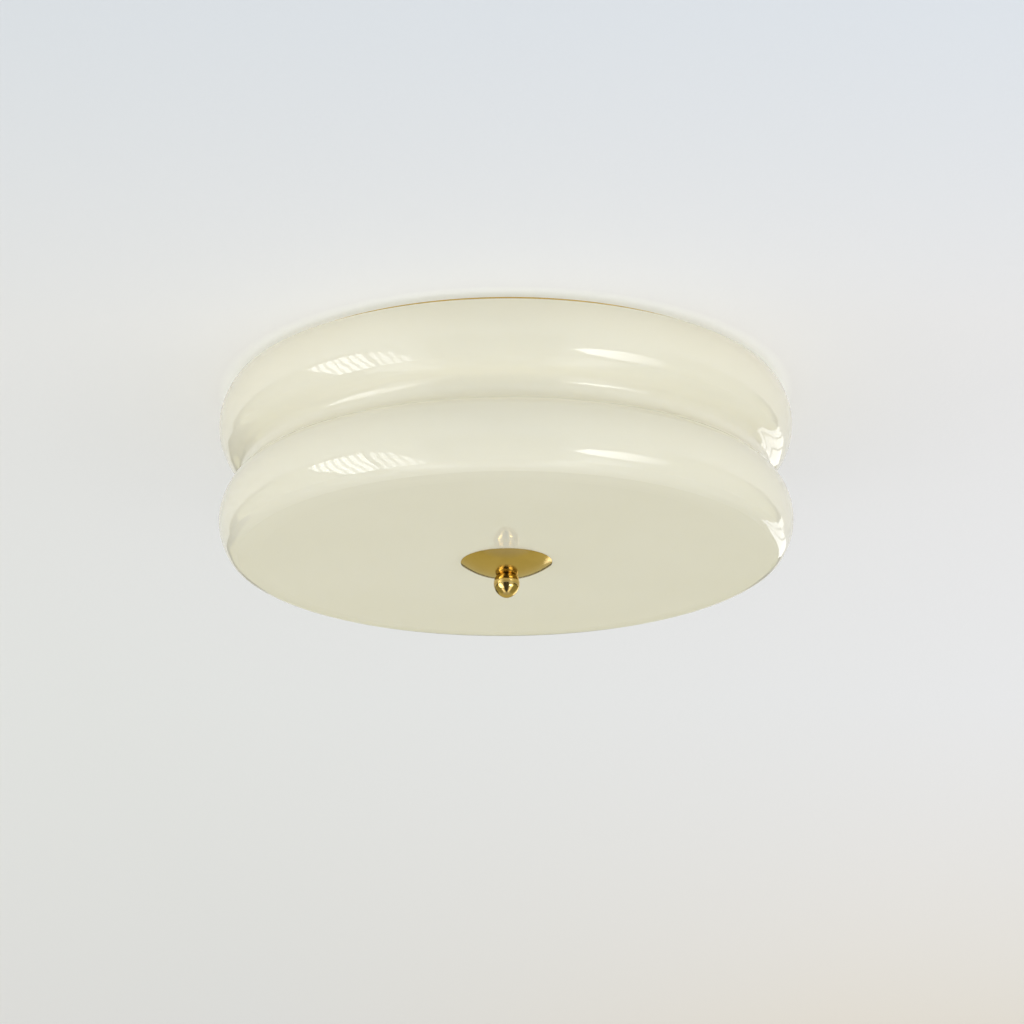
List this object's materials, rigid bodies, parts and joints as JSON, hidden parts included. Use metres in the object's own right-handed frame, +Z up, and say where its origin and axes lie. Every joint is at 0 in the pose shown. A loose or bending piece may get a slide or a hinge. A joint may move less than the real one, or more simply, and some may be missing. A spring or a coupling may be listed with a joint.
{
  "type": "ceiling light",
  "caption": "Round flush ceiling light: a two-tier opal glass bowl held up against a shallow brass pan by a dish and ball finial on a centre rod.",
  "frame": {"origin": "the lamp's axis in the ceiling plane, midway between the strap's two slots", "axes": "+Z up out of the ceiling plane, +X along the ceiling strap, -Y towards the viewer of the picture"},
  "size_m": [0.3999, 0.3999, 0.1458],
  "materials": {
    "opal_glass": "glossy opal, cream white",
    "polished_brass": "polished, lacquered",
    "plain_brass": "plain drawn brass",
    "zinc_steel": "zinc plated",
    "holder_plastic": "moulded, white",
    "white_plastic": "moulded, white",
    "clear_plastic": "translucent natural",
    "clear_rubber": "matt, translucent grey",
    "black_rubber": "matt black",
    "lead_sheath": "white silicone-like sheath",
    "earth_sheath": "green and yellow sheath",
    "cap_metal": "bright, rolled thread",
    "bulb_plastic": "white, smooth",
    "bulb_opal": "satin opal"
  },
  "bodies": {
    "root": {"ceiling_strap": "zinc_steel", "strap_studs": "zinc_steel", "centre_rod": "zinc_steel", "rod_washers": "zinc_steel", "rod_top_nut": "zinc_steel", "rod_lower_nut": "zinc_steel", "shade_stop_nut": "zinc_steel", "shade_stop_washer": "zinc_steel", "bracket_rivets": "zinc_steel", "holder_screws": "zinc_steel", "box_screws": "zinc_steel", "lid_screws": "zinc_steel", "terminal_screws": "zinc_steel", "earth_screw": "zinc_steel", "earth_nut": "zinc_steel", "pan": "polished_brass", "pan_washers": "polished_brass", "pan_cap_nuts": "polished_brass", "shade_inner_seal": "clear_rubber", "lead_grommets": "black_rubber", "connection_box": "white_plastic", "connection_lid": "white_plastic", "terminal_strip": "clear_plastic", "terminal_inserts": "plain_brass", "earth_ring": "plain_brass", "earth_lead": "earth_sheath", "holder_bracket_1": "zinc_steel", "holder_body_1": "holder_plastic", "holder_shell_1": "plain_brass", "holder_contact_1": "plain_brass", "lamp_lead_1": "lead_sheath", "holder_bracket_2": "zinc_steel", "holder_body_2": "holder_plastic", "holder_shell_2": "plain_brass", "holder_contact_2": "plain_brass", "lamp_lead_2": "lead_sheath", "holder_bracket_3": "zinc_steel", "holder_body_3": "holder_plastic", "holder_shell_3": "plain_brass", "holder_contact_3": "plain_brass", "lamp_lead_3": "lead_sheath"},
    "shade": {"glass_shade": "opal_glass"},
    "dish": {"finial_dish": "polished_brass", "dish_seal": "clear_rubber"},
    "finial": {"finial": "polished_brass"},
    "bulb_1": {"bulb_cap_1": "cap_metal", "bulb_base_1": "bulb_plastic", "bulb_globe_1": "bulb_opal"},
    "bulb_2": {"bulb_cap_2": "cap_metal", "bulb_base_2": "bulb_plastic", "bulb_globe_2": "bulb_opal"},
    "bulb_3": {"bulb_cap_3": "cap_metal", "bulb_base_3": "bulb_plastic", "bulb_globe_3": "bulb_opal"}
  },
  "joints": [
    {"name": "shade_lower", "type": "slide", "parent": "root", "child": "shade", "axis": [0, 0, -1], "range_m": [0, 0.165]},
    {"name": "dish_drop", "type": "slide", "parent": "shade", "child": "dish", "axis": [0, 0, -1], "range_m": [0, 0.01]},
    {"name": "finial_turn", "type": "hinge", "parent": "dish", "child": "finial", "pos_m": [0, 0, -0.137], "axis": [0, 0, -1], "range_deg": [0, 2880]},
    {"name": "lamp_1_unscrew", "type": "slide", "parent": "root", "child": "bulb_1", "axis": [0, 1, 0], "range_m": [0, 0.025]},
    {"name": "lamp_2_unscrew", "type": "slide", "parent": "root", "child": "bulb_2", "axis": [-0.866, -0.5, 0], "range_m": [0, 0.025]},
    {"name": "lamp_3_unscrew", "type": "slide", "parent": "root", "child": "bulb_3", "axis": [0.866, -0.5, 0], "range_m": [0, 0.025]}
  ],
  "couplings": [
    {"joint": "finial_turn", "follows": "dish_drop", "rad_per_m": 5026.5}
  ]
}
